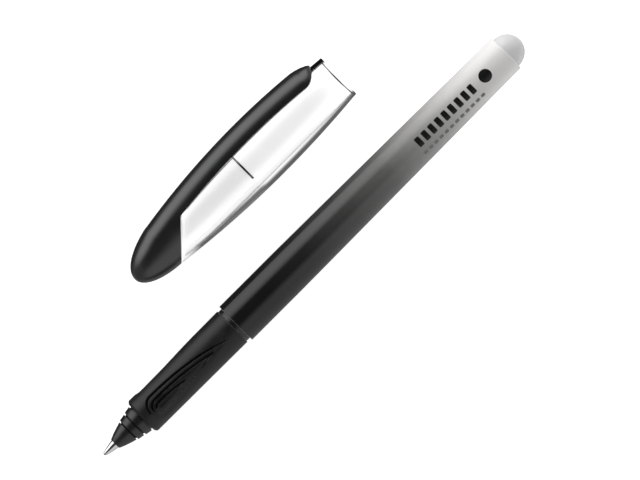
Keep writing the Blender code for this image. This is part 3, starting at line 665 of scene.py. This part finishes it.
def crown_and_clip():
    """One moulding: the crown over the cap's nose, and the springy clip that runs on from it."""
    columns, belly_columns, crown_rows, clip_rows, tip_rows = 64, 72, 40, 60, 24
    corner = settled(lambda station: SPLIT_MIDDLE + SPLIT_SLOPE * skirt_height(station))

    def belly_point(station, column):
        """On the half oval that hangs from the foot of one flank to the foot of the other."""
        turn = pi * column / belly_columns
        depth = skirt_height(station) + body_radius(station)
        height = skirt_height(station) - depth * sin(turn)
        return station, height, -cover_half_width(station) * cos(turn)

    def split(column):
        """Where a line along the belly meets the split plane."""
        if column in (0, belly_columns):
            return corner
        return settled(
            lambda station: SPLIT_MIDDLE + SPLIT_SLOPE * belly_point(station, column)[1], corner
        )

    ends = [split(column) for column in range(belly_columns + 1)]
    skin = Skin()
    rows = []
    for step in range(1, crown_rows + 1):
        share = (step / crown_rows) ** 2
        belly = [belly_point(share * end, column) for column, end in enumerate(ends)]
        rows.append((upper_row(share * corner, columns), belly))
    first = rows[0][0] + rows[0][1]
    skin.wrap([[(0.0, 0.0, 0.0)] * len(first), *[upper + belly for upper, belly in rows]])

    taper_start = TIP_STATION - CREST_TAPER
    stations = evenly(CROWN_END, taper_start, clip_rows)
    for step in range(1, tip_rows + 1):
        stations.append(CLIP_END - (CLIP_END - taper_start) * (1 - step / tip_rows) ** 1.8)
    uppers = [upper_row(station, columns) for station in stations]
    insides = []
    for station in stations:
        lining = body_radius(station) + CLIP_GAP
        swing = acos(min((skirt_height(station) + 0.05) / lining, 1))
        angles = [-swing * (1 - 2 * column / columns) for column in range(columns + 1)]
        insides.append([ring_point(station, lining, angle) for angle in angles])

    upper, belly = rows[-1]
    skin.stack([upper, uppers[0]])
    skin.wrap([above + below for above, below in zip(uppers, insides)])
    skin.stack([uppers[-1], insides[-1][::-1]])
    inside = insides[0]
    skin.face((upper[0], uppers[0][0], inside[-1], belly[-1]))
    skin.face((upper[-1], uppers[0][-1], inside[0], belly[0]))

    rim = [*inside, *belly[::-1]]

    def plane_ring(share):
        """The crown's rear face, drawn in toward its middle."""
        return [(split_plane(y * share), y * share, z * share) for _, y, z in rim]

    end = [(SPLIT_MIDDLE, 0.0, 0.0)] * len(rim)
    return skin.wrap([rim, *[plane_ring(share) for share in (0.9, 0.6, 0.3)], end])


def slanting_end(widest, wall, offset):
    """The rings that close a hollow behind the split plane.

    The hollow is no wider than widest, keeps a wall's distance from the body's surface and
    ends in parallel with the plane, at an offset from it.
    """

    def hollow(station):
        return min(widest, body_radius(station) - wall)

    def end(angle):
        return settled(lambda station: split_plane(hollow(station) * cos(angle)) + offset)

    def between(share):
        def along(angle):
            return STRAIGHT_START + (end(angle) - STRAIGHT_START) * share

        return around(along, lambda angle: hollow(along(angle)))

    def plane(share):
        def across(angle):
            return share * hollow(end(angle))

        return around(lambda angle: split_plane(across(angle) * cos(angle)) + offset, across)

    rings = [between(step / 12) for step in range(13)]
    rings += [plane(share) for share in (0.96, 0.7, 0.4)]
    return [*rings, around(SPLIT_MIDDLE + offset, 0)]


def cap_shell():
    """The clear body: a slanting front behind the crown, a barrel-shaped wall and the bore."""
    bevel, front_rows, wall_rows = 0.08, 12, 48
    outer_end = CAP_LENGTH - 0.12

    def front(angle):
        meeting = settled(lambda station: split_plane(body_radius(station) * cos(angle)))
        return meeting + SPLIT_SEAM

    def face(share):
        def along(angle):
            height = share * body_radius(front(angle)) * cos(angle)
            return split_plane(height) + SPLIT_SEAM

        return around(along, lambda angle: share * (body_radius(front(angle)) - bevel))

    def behind(share):
        def along(angle):
            start = front(angle) + bevel
            return start + (STRAIGHT_START - start) * share

        return around(along, lambda angle: body_radius(along(angle)))

    rows = [around(SPLIT_MIDDLE + SPLIT_SEAM, 0), *[face(share) for share in (0.3, 0.6, 0.9)]]
    rows.append(around(front, lambda angle: body_radius(front(angle)) - bevel))
    rows += [behind(step / front_rows) for step in range(front_rows)]
    stations = evenly(STRAIGHT_START, outer_end, wall_rows)
    rows += [around(station, body_radius(station)) for station in stations]
    mouth = [(station, body_radius(station)) for station in (outer_end, CAP_LENGTH)]
    mouth += [(CAP_LENGTH, CAP_BORE_MOUTH), (CAP_LENGTH - 0.3, CAP_BORE_MOUTH)]
    mouth.append((CAP_LENGTH - 1.2, CAP_BORE_DEEP))
    rows += [around(station, radius) for station, radius in softened(mouth, 0.1, closed=False)[1:]]
    return Skin().wrap(rows + slanting_end(CAP_BORE_DEEP, CAP_WALL, CAP_END_WALL))


def inner_cap():
    """The cup that seals on the grip's front and keeps the point from drying."""
    wall, offset = CAP_WALL + INNER_CAP_GAP, CAP_END_WALL + INNER_CAP_GAP
    outside = slanting_end(INNER_CAP_RADIUS, wall, offset)
    inside = slanting_end(INNER_CAP_BORE, wall + INNER_CAP_WALL, offset + INNER_CAP_WALL)
    start, end = STRAIGHT_START + 0.5, INNER_CAP_RIM - 0.12
    rim = [(start, INNER_CAP_RADIUS), (end, INNER_CAP_RADIUS)]
    rim += [(end, INNER_CAP_BORE), (start, INNER_CAP_BORE)]
    rings = [around(station, radius) for station, radius in softened(rim, 0.16, closed=False)]
    return Skin().wrap([*outside[::-1], *rings, *inside])


def shaded_rim_arc():
    """A dark arc on the inner cap's rim, open on the side away from the clip: painted shade, a
    dark piece standing in for the dark line the clear rim shows through the wall.
    """
    start, end = INNER_CAP_RIM - 0.2, INNER_CAP_RIM + 0.28
    outside, inside = INNER_CAP_RADIUS - 0.02, INNER_CAP_RADIUS - 0.5
    section = softened([(start, outside), (end, outside), (end, inside), (start, inside)], 0.05)
    reach, steps = radians(124), 90
    rows = []
    for step in range(steps + 1):
        angle = reach * (2 * step / steps - 1)
        rows.append([ring_point(station, radius, angle) for station, radius in section])
    skin = Skin().wrap(rows)
    for row in (rows[0], rows[-1]):
        skin.face(row)
    return skin


# ---- print on the barrel ----


def printed_patch(middle_station, length, middle_across, width, corner):
    """A thin rounded patch of ink that follows the barrel. Across is the arc toward +Y."""
    ink, sunk = 0.012, -0.01
    along_steps, across_steps = 40, 16

    def point(station, across, lift):
        radius = barrel_radius(station) + lift
        return ring_point(station, radius, pi / 2 - across / barrel_radius(station))

    def row(step, lift):
        reach = -cos(pi * step / along_steps) * length / 2
        over = max(abs(reach) - (length / 2 - corner), 0)
        half = width / 2 - corner + sqrt(max(corner**2 - over**2, 1e-6))
        points = []
        for index in range(across_steps + 1):
            across = middle_across + half * (2 * index / across_steps - 1)
            points.append(point(middle_station + reach, across, lift))
        return points

    tops = [row(step, ink) for step in range(along_steps + 1)]
    feet = [row(step, sunk) for step in range(along_steps + 1)]
    skin = Skin().wrap([top + foot[::-1] for top, foot in zip(tops, feet)])
    for end in (0, -1):
        skin.stack([tops[end], feet[end]])
    return skin


# ---- materials ----


class Nodes:
    """Adds nodes to a material's or a world's tree."""

    def __init__(self, owner):
        owner.use_nodes = True
        self.tree = owner.node_tree

    def node(self, kind, **settings):
        made = self.tree.nodes.new("ShaderNode" + kind)
        for name, value in settings.items():
            setattr(made, name, value)
        return made

    def feed(self, node, **sources):
        """Links or sets a node's sockets, by name or as _0, _1 and so on."""
        for name, source in sources.items():
            key = int(name[1:]) if name[1:].isdigit() else name.replace("_", " ")
            if isinstance(source, bpy.types.NodeSocket):
                self.tree.links.new(source, node.inputs[key])
            else:
                node.inputs[key].default_value = source

    def made(self, kind, *values, **settings):
        """A new node's first output, with its first sockets fed."""
        node = self.node(kind, **settings)
        self.feed(node, **{f"_{index}": value for index, value in enumerate(values)})
        return node.outputs[0]

    def maths(self, operation, *values):
        return self.made("Math", *values, operation=operation)

    def ranged(self, source, low, high, from_low=0.3, from_high=0.7):
        """A field's from_low..from_high as low..high."""
        return self.made("MapRange", source, from_low, from_high, low, high)

    def mixed(self, blend, share, first, second):
        return self.made("MixRGB", share, first, second, blend_type=blend)

    def ramp(self, source, stops):
        """Colours by position, as (position, colour) pairs. A plain number is a grey."""
        node = self.node("ValToRGB")
        points = node.color_ramp.elements
        for index, (position, colour) in enumerate(stops):
            point = points[index] if index < 2 else points.new(position)
            point.position = position
            point.color = (*(grey(colour) if isinstance(colour, float) else colour), 1)
        self.feed(node, _0=source)
        return node.outputs[0]


class Look(Nodes):
    """A Principled material, and calls that add procedural detail to it."""

    def __init__(self, name, colour, roughness, **sockets):
        self.material = bpy.data.materials.new(name)
        super().__init__(self.material)
        self.material.diffuse_color = (*colour, 1)
        self.shader = self.tree.nodes["Principled BSDF"]
        self.feed(self.shader, Base_Color=(*colour, 1), Roughness=roughness, **sockets)
        self.place = self.node("TexCoord").outputs["Object"]

    def noise(self, scale, detail=3.0, stretch=(1, 1, 1)):
        """scale is in features to the metre. stretch slows the field down along an axis."""
        mapping = self.node("Mapping")
        self.feed(mapping, Vector=self.place, Scale=[1 / value for value in stretch])
        field = self.node("TexNoise")
        self.feed(field, Vector=mapping.outputs[0], Scale=scale, Detail=detail)
        return field.outputs[0]

    def rough(self, source):
        self.feed(self.shader, Roughness=source)

    def coloured(self, source):
        self.feed(self.shader, Base_Color=source)

    def graded(self, field, low, high, low_end=0.3, high_end=0.7):
        """The base colour from low to high, as a field goes from one end to the other."""
        self.coloured(self.ramp(field, [(low_end, low), (high_end, high)]))

    def bumpy(self, height, depth):
        """depth is in millimetres."""
        bump = self.node("Bump")
        self.feed(bump, Strength=1.0, Distance=depth * MM, Height=height)
        self.feed(self.shader, Normal=bump.outputs[0])

    def edges(self, low=0.5, high=0.58):
        """0 on the flat and 1 on convex edges."""
        pointiness = self.node("NewGeometry").outputs["Pointiness"]
        return self.ranged(pointiness, 0.0, 1.0, low, high)


def grey(value, warm=0.0):
    return value * (1 + warm), value, value * (1 - warm)


WHITE = (1.0, 1.0, 1.0)


def steel_look():
    """Turned metal: fine rings around the axis."""
    look = Look("bright_steel", (0.8, 0.8, 0.81), 0.16, Metallic=1.0)
    rings = look.noise(26000, 2, stretch=(1, 60, 60))
    look.rough(look.ranged(look.noise(900), 0.112, 0.24))
    look.graded(rings, (0.72, 0.72, 0.735), (0.86, 0.86, 0.865))
    look.bumpy(rings, 0.0012)
    return look.material


def grained_look(
    name, base, roughness, grain, colours, satin=None, depth=0, bumps=None, **sockets
):
    """A material whose colour, gloss and height follow one noise field, or bumps another."""
    look = Look(name, base, roughness, **sockets)
    field = look.noise(*grain)
    look.graded(field, *colours)
    if satin:
        look.rough(look.ranged(field, *satin))
    if depth:
        look.bumpy(look.noise(*bumps) if bumps else field, depth)
    return look.material


def milky_look():
    colours, satin, bumps = (0.64, 0.69), (0.18, 0.28), (5000, 2)
    return grained_look("plug_plastic", grey(0.72), 0.22, (300, 3), colours, satin, 0.002, bumps)


def carbide_look():
    colours = (0.36, 0.36, 0.38), (0.5, 0.5, 0.52)
    base = (0.42, 0.42, 0.44)
    return grained_look("carbide", base, 0.12, [14000], colours, (0.08, 0.2), Metallic=1.0)


def fibre_look():
    colours = (0.4, 0.42, 0.5), (0.7, 0.7, 0.67)
    grain = 16000, 3, (40, 1, 1)
    return grained_look("wick_fibre", (0.6, 0.6, 0.57), 0.9, grain, colours, depth=0.02)


def cartridge_look():
    """Ink-blue translucent plastic with ink streaks on its wall."""
    clear = {"Transmission_Weight": 0.35, "IOR": 1.5}
    colours = (0.008, 0.016, 0.16), (0.03, 0.07, 0.42), 0.35, 0.65
    blue, grain = (0.02, 0.05, 0.32), (500, 4, (5, 1, 1))
    satin = 0.18, 0.34
    return grained_look("cartridge_plastic", blue, 0.25, grain, colours, satin, 0.003, **clear)


def ink_look(name, value):
    colours = value * 0.8, value * 1.25, 0.3, 0.75
    return grained_look(name, grey(value), 0.3, (5000, 3), colours, (0.24, 0.38), 0.002)


def moulded_look(name, value, roughness, depth=0.004, wear=0.3, gloss=0.5):
    """A satin moulded plastic: fine spark-eroded grain, uneven gloss, edges rubbed smooth."""
    look = Look(name, grey(value), roughness, Specular_IOR_Level=gloss)
    patches = look.noise(260, 4)
    satin = look.ranged(patches, roughness * 0.92, roughness * 1.08)
    polished = look.maths("MULTIPLY", look.edges(), -wear * roughness)
    look.rough(look.maths("ADD", satin, polished))
    look.graded(patches, value * 0.88, value * 1.12)
    look.bumpy(look.noise(9000, 2), depth)
    return look.material


def rubber_look():
    """Matt black rubber: fine grain, a bloom of lighter dust, and grooves that are duller."""
    look = Look("grip_rubber", grey(0.01), 0.4, Specular_IOR_Level=0.4)
    bloom = look.noise(420, 5)
    grooves = look.maths("SUBTRACT", 1.0, look.edges(0.42, 0.49))
    look.rough(look.maths("MULTIPLY_ADD", grooves, 0.5, look.ranged(bloom, 0.35, 0.43)))
    look.graded(bloom, 0.006, 0.011, high_end=0.72)
    look.bumpy(look.noise(11000, 3), 0.006)
    return look.material


# share of the barrel's length, and the paint's brightness there
BARREL_FADE = (
    (0.0, 0.0078), (0.12, 0.009), (0.26, 0.018), (0.41, 0.053), (0.55, 0.115),
    (0.7, 0.31), (0.77, 0.43), (0.84, 0.58), (0.92, 0.72), (1.0, 0.8),
)  # fmt: skip


def barrel_look():
    """Gloss plastic sprayed from black at the grip to white at the tail, in fine droplets."""
    look = Look("barrel_gloss", grey(0.3), 0.12, Specular_IOR_Level=0.5)
    along = look.made("SeparateXYZ", look.place)
    first, last = PEN.x + BARREL_START * MM, PEN.x + BARREL_END * MM
    fade = look.ranged(along, 0.0, 1.0, first, last)
    mottle = look.noise(500, 3)
    droplets = look.ranged(look.noise(9000, 2), -0.012, 0.012)
    spray = look.maths("ADD", droplets, look.ranged(mottle, -0.006, 0.006))
    stops = [(share, grey(value, 0.012)) for share, value in BARREL_FADE]
    look.coloured(look.ramp(look.maths("ADD", fade, spray), stops))
    look.rough(look.ranged(mottle, 0.1, 0.16))
    look.bumpy(look.noise(1100, 2), 0.0025)
    return look.material


# painted edge shade: how bright a clear wall's colour stays, from face on (0) to edge on (1),
# standing in for the dark edges that refraction shows
PAINTED_EDGE_SHADE = ((0.0, 1.0), (0.36, 1.0), (0.5, 0.1), (0.66, 0.05), (0.82, 0.2), (1.0, 0.4))
PAINTED_DOUBLE_WALL_SHADE = (
    (0.0, 1.0), (0.32, 1.0), (0.41, 0.2), (0.5, 0.1), (0.62, 0.14), (0.8, 0.25), (1.0, 0.4),
)  # fmt: skip
PAINTED_SOFT_EDGE_SHADE = ((0.0, 1.0), (0.5, 1.0), (0.8, 0.82), (1.0, 0.85))
PAINTED_INNER_EDGE_SHADE = ((0.0, 1.0), (0.6, 1.0), (0.72, 0.75), (1.0, 0.55))


def clear_look(name, colour, roughness, edge=PAINTED_SOFT_EDGE_SHADE, gloss=1.0, bending=1.04, haze=0.03):
    """Clear moulded plastic: gloss outside, and painted edge shade: the base colour is darker
    where the wall is seen edge on.
    """
    look = Look(name, colour, 0.02, Transmission_Weight=1.0, IOR=bending)
    look.feed(look.shader, Coat_Weight=gloss, Coat_Roughness=roughness, Coat_IOR=1.5)
    # painted edge shade: the base colour follows how far edge on the wall is seen
    look.facing = look.node("LayerWeight").outputs["Facing"]
    stops = [(position, [value * part for part in colour]) for position, value in edge]
    look.tint = look.ramp(look.facing, stops)
    flow = look.noise(240, 3, stretch=(6, 1, 1))
    look.streaks = look.ramp(flow, [(0.3, 1.0 - haze / 2), (0.7, 1.0)])
    look.coloured(look.mixed("MULTIPLY", 1.0, look.tint, look.streaks))
    look.bumpy(flow, 0.002)
    # light on its way to the floor goes straight through
    shadow = look.node("LightPath").outputs["Is Shadow Ray"]
    through = look.node("BsdfTransparent")
    look.feed(through, Color=(*[value * (1.0 - haze) for value in colour], 1))
    both = look.made("MixShader", shadow, look.shader.outputs[0], through.outputs[0])
    look.feed(look.tree.nodes["Material Output"], Surface=both)
    return look


def around_cap(look):
    """The distances along, across and above the cap's axis and away from it, as fields."""
    split = look.node("SeparateXYZ")
    look.feed(split, _0=look.place)
    across = look.maths("SUBTRACT", split.outputs[1], CAP.y)
    upward = look.maths("SUBTRACT", split.outputs[2], CAP.z)
    squares = [look.maths("POWER", distance, 2.0) for distance in (across, upward)]
    return split.outputs[0], across, upward, look.maths("SQRT", look.maths("ADD", *squares))


def outside_of(look, radius, limit):
    """1 where a wall's radius is over a limit, so on its outer surface, and 0 within."""
    return look.ranged(look.maths("SUBTRACT", radius, limit), 0.0, 1.0, 0.0, 0.1 * MM)


def finish_clear(look, outer, tint):
    """Puts the painted edge shade on the outer surface only, and streaks it all."""
    tint = look.mixed("MIX", outer, (*WHITE, 1.0), tint)
    look.coloured(look.mixed("MULTIPLY", 1.0, tint, look.streaks))
    return look.material


def shell_look():
    """The cap's clear body. Its outer surface has painted edge shade, darkest on the clip's side,
    where it stands in for the black clip's reflection.
    """
    look = clear_look("clear_plastic", WHITE, 0.03, PAINTED_EDGE_SHADE, bending=1.02)
    along, across, upward, radius = around_cap(look)

    def from_to(low, high, start, end):
        """low up to a station of the cap, and high from another one on."""
        return look.ranged(along, low, high, CAP.x + start * MM, CAP.x + end * MM)

    outside = outside_of(look, radius, from_to(4.3 * MM, 5.15 * MM, 9.0, STRAIGHT_START))
    outer = look.maths("MULTIPLY", outside, from_to(0.0, 1.0, 11.5, 15.5))
    # over the inner cap the painted edge shade follows the double wall's table
    before_rim = from_to(1.0, 0.0, INNER_CAP_RIM - 0.3, INNER_CAP_RIM + 1.5)
    over_inner_cap = look.maths("MULTIPLY", before_rim, from_to(0.0, 1.0, 17.0, 24.0))
    double_wall_shade = look.ramp(look.facing, PAINTED_DOUBLE_WALL_SHADE)
    edge = look.mixed("MIX", over_inner_cap, look.tint, double_wall_shade)
    # painted reflection of the black clip: the edge shade darkens toward the clip's side
    painted_clip_reflection = look.ranged(across, 1.0, 3.5, 3.0 * MM, 4.5 * MM)
    clip_shaded_edge = look.made("Gamma", edge, painted_clip_reflection)
    # a painted dark line, the shade of the mouth's step, which lies on a slight slant; darkest on
    # the wall nearer the floor
    slanted = look.maths("MULTIPLY_ADD", upward, -0.06, along)
    line = CAP.x + (CAP_LENGTH - 0.4) * MM
    off_line = look.maths("ABSOLUTE", look.maths("SUBTRACT", slanted, line))
    step_shade_paleness = look.ranged(upward, 0.0, 0.6, -1.0 * MM, 1.0 * MM)
    painted_step_shade = look.ranged(off_line, step_shade_paleness, 1.0, 0.1 * MM, 0.24 * MM)
    return finish_clear(look, outer, look.mixed("MULTIPLY", 1.0, clip_shaded_edge, painted_step_shade))


def inner_cap_look():
    # painted edge shade on the inner cap's outer surface
    look = clear_look("inner_plastic", WHITE, 0.08, PAINTED_INNER_EDGE_SHADE, 0.08, 1.01, haze=0.0)
    outer = outside_of(look, around_cap(look)[-1], (INNER_CAP_BORE + 0.5) * MM)
    return finish_clear(look, outer, look.tint)


# ---- the pen and the cap ----


def build_pen():
    looks = {
        "carbide": carbide_look(),
        "bright_steel": steel_look(),
        "white_plastic": moulded_look("white_plastic", 0.75, 0.4),
        "wick_fibre": fibre_look(),
        "nose_plastic": moulded_look("nose_plastic", 0.01, 0.31, depth=0.002, gloss=0.62),
        "collector_plastic": moulded_look("collector_plastic", 0.22, 0.45),
        # the sleeve and the seal bead carry clear_look's soft painted edge shade
        "sleeve_plastic": clear_look("sleeve_plastic", (0.93, 0.94, 0.95), 0.12).material,
        "grip_rubber": rubber_look(),
        "cartridge_plastic": cartridge_look(),
        "seal_glass": clear_look("seal_glass", (0.75, 0.78, 0.82), 0.05).material,
        "barrel_gloss": barrel_look(),
        "plug_plastic": milky_look(),
    }
    working, spare = cartridge(CARTRIDGE_START, 1), cartridge(SPARE_END, -1)
    for name, skin, slot, body, node in (
        ("ball", ball(BALL_RADIUS, BALL_RADIUS), "carbide", "ball", "writing_ball"),
        ("cone", point_cone(), "bright_steel", "section", "point_cone"),
        ("adapter", point_adapter(), "white_plastic", "section", "point_adapter"),
        ("wick", ink_wick(), "wick_fibre", "section", "ink_wick"),
        ("nose", nose_cone(), "nose_plastic", "section", "nose_cone"),
        ("collector", ink_collector(), "collector_plastic", "section", "ink_collector"),
        ("sleeve", collector_sleeve(), "sleeve_plastic", "section", "collector_sleeve"),
        ("spike", piercing_tube(), "bright_steel", "section", "piercing_tube"),
        ("core", section_core(), "nose_plastic", "section", "section_core"),
        ("grip", grip_sleeve(), "grip_rubber", "section", "grip_sleeve"),
        ("cartridge", working, "cartridge_plastic", "cartridge", "cartridge_shell"),
        ("spare", spare, "cartridge_plastic", "spare", "spare_shell"),
        ("bead", ball(0, BEAD_RADIUS), "seal_glass", "bead", "cartridge_ball"),
        ("spare_bead", ball(0, BEAD_RADIUS), "seal_glass", "spare", "spare_ball"),
        ("barrel", barrel_tube(), "barrel_gloss", "barrel", "barrel_tube"),
        ("plug", tail_plug(), "plug_plastic", "barrel", "tail_plug"),
    ):
        origin = middle(node) if slot == "seal_glass" else PEN
        add_piece(f"{name}_fine", skin, origin, looks[slot], slot, body, node)


def build_print():
    """A row of dashes, a dot and a row of fine ticks, in place of any words or mark."""
    black, pale = ink_look("print_black", 0.006), ink_look("print_grey", 0.16)

    def print_row(name, look, count, start, pitch, *shape):
        for index in range(count):
            patch = printed_patch(start + pitch * index, *shape)
            add_piece(f"{name}_{index + 1}", patch, PEN, look, "barrel_gloss", "barrel")

    print_row("print_dash", black, 9, 95.9, 2.0, 1.25, -0.3, 2.3, 0.25)
    dot = printed_patch(116.0, 3.0, -0.3, 3.0, 1.5)
    add_piece("print_dot", dot, PEN, black, "barrel_gloss", "barrel")
    print_row("print_tick", pale, 12, 95.4, 1.58, 1.0, -3.15, 0.8, 0.2)


def build_cap():
    # painted shade: a black arc on the inner cap's rim in place of the rim's dark line
    rim_shade_look = moulded_look("rim_painted_shade", 0.012, 0.4)
    for name, skin, look, *nodes in (
        ("shell_fine", cap_shell(), shell_look(), "cap_shell"),
        ("inner_cap_fine", inner_cap(), inner_cap_look(), "inner_cap"),
        ("inner_rim_fine", shaded_rim_arc(), rim_shade_look),
    ):
        add_piece(name, skin, CAP, look, "clear_plastic", "cap", *nodes)
    black = moulded_look("crown_plastic", 0.009, 0.3, depth=0.002, wear=0.2, gloss=1.0)
    crown = make_piece("crown_fine", crown_and_clip(), CAP, black, crease=50)
    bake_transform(crown)
    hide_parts("cap_crown", "clip_arm")


# ---- the studio ----

# The sky over the floor, as stripes along X: degrees from straight up toward +Y, brightness.
# Straight down is bright, as the paper is, for walls that are seen edge on.
STRIPES = (
    (-180, 1.0), (-170, 1.0), (-163, 0.15), (-150, 0.35), (-125, 0.5), (-106, 0.62), (-90, 0.66),
    (-40, 0.72), (-28, 0.45), (-16, 0.05), (0, 0.03), (30, 0.03), (40, 0.9), (50, 1.7),
    (62, 1.95), (80, 1.8), (97, 1.3), (104, 0.04), (163, 0.03), (170, 1.0), (180, 1.0),
)  # fmt: skip
# the sky toward the two ends of the pen, from -X to +X
ENDS = ((0.0, 0.25), (0.5, 0.6), (1.0, 0.5))
SKY_STRENGTH = 2.0
PAPER = 0.93  # how pale the floor is
LIT_FROM_BELOW = 0.75  # the floor is the lit top of a light table
BEYOND = 1.2  # brightness of what the camera sees past the floor


def build_sky():
    world = bpy.data.worlds.new("studio")
    bpy.context.scene.world = world
    sky = Nodes(world)
    sky.tree.nodes.clear()
    split = sky.node("SeparateXYZ")
    sky.feed(split, _0=sky.node("TexCoord").outputs["Generated"])
    along, across, upward = split.outputs
    share = sky.ranged(sky.maths("ARCTAN2", across, upward), 0.0, 1.0, -pi, pi)
    stops = [((angle + 180) / 360, value / SKY_STRENGTH) for angle, value in STRIPES]
    stripes = sky.ramp(share, stops)
    stops = [(position, value / SKY_STRENGTH) for position, value in ENDS]
    ends = sky.ramp(sky.ranged(along, 0.0, 1.0, -1.0, 1.0), stops)
    toward_end = sky.ranged(sky.maths("ABSOLUTE", along), 0.0, 1.0, 0.6, 0.85)
    mixed = sky.mixed("MIX", toward_end, stripes, ends)
    light = sky.made("Background", mixed, SKY_STRENGTH)
    paper = sky.made("Background", (*grey(BEYOND), 1), 1.0)
    seen = sky.node("LightPath").outputs["Is Camera Ray"]
    surface = sky.made("MixShader", seen, light, paper)
    sky.feed(sky.node("OutputWorld"), Surface=surface)


def build_floor():
    half = 3.0 / MM
    skin = Skin()
    skin.face(((-half, -half, 0), (half, -half, 0), (half, half, 0), (-half, half, 0)))
    mesh = bpy.data.meshes.new("floor")
    skin.mesh.to_mesh(mesh)
    skin.mesh.free()
    look = Look("paper", grey(PAPER), 0.9, Specular_IOR_Level=0.1)
    look.graded(look.noise(900, 4), PAPER * 0.99, PAPER)
    look.feed(look.shader, Emission_Color=(*grey(1.0), 1), Emission_Strength=LIT_FROM_BELOW)
    mesh.materials.append(look.material)
    floor = placed("floor", mesh)
    floor.location.z = -0.02 * MM
    floor.visible_glossy = False
    floor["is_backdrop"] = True


def build_lamp(name, location, energy):
    """A wide soft light, turned to the object, that doesn't show in the gloss."""
    data = bpy.data.lights.new(name, "AREA")
    data.shape = "DISK"
    data.size = 0.8
    data.energy = energy
    lamp = placed(name, data)
    lamp.location = location
    lamp.rotation_euler = Vector(location).to_track_quat("Z", "Y").to_euler()
    lamp.visible_camera = lamp.visible_glossy = lamp.visible_transmission = False


def build_camera():
    """Straight above, turned so that the pen runs up to the right."""
    data = bpy.data.cameras.new("camera")
    data.lens = 600.0
    data.sensor_width = 36.0
    camera = placed("camera", data)
    height, shift, drop = 2.3032, 2.3 * MM, 0.15 * MM
    low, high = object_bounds()
    camera.location = ((low.x + high.x) / 2 + shift, PEN.y - drop, PEN.z + height)
    camera.rotation_euler = (0, 0, radians(-45))
    bpy.context.scene.camera = camera


build_pen()
build_print()
build_cap()
build_sky()
build_floor()
# The pen and the cap don't show in each other's gloss, as if lit one at a time. The grip and
# the nose do, because their grooves are dark where they mirror themselves.
for made in bpy.data.objects:
    mirrored = made.name in ("grip_fine", "nose_fine", "cone_fine")
    if made.name.endswith("_fine") and not mirrored:
        made.visible_glossy = False
build_lamp("overhead", (0.1, 0.0, 1.05), 1.6)
build_lamp("side", (0.2, 1.1, 0.4), 3.6)
build_camera()
bpy.context.scene.view_settings.view_transform = "Standard"
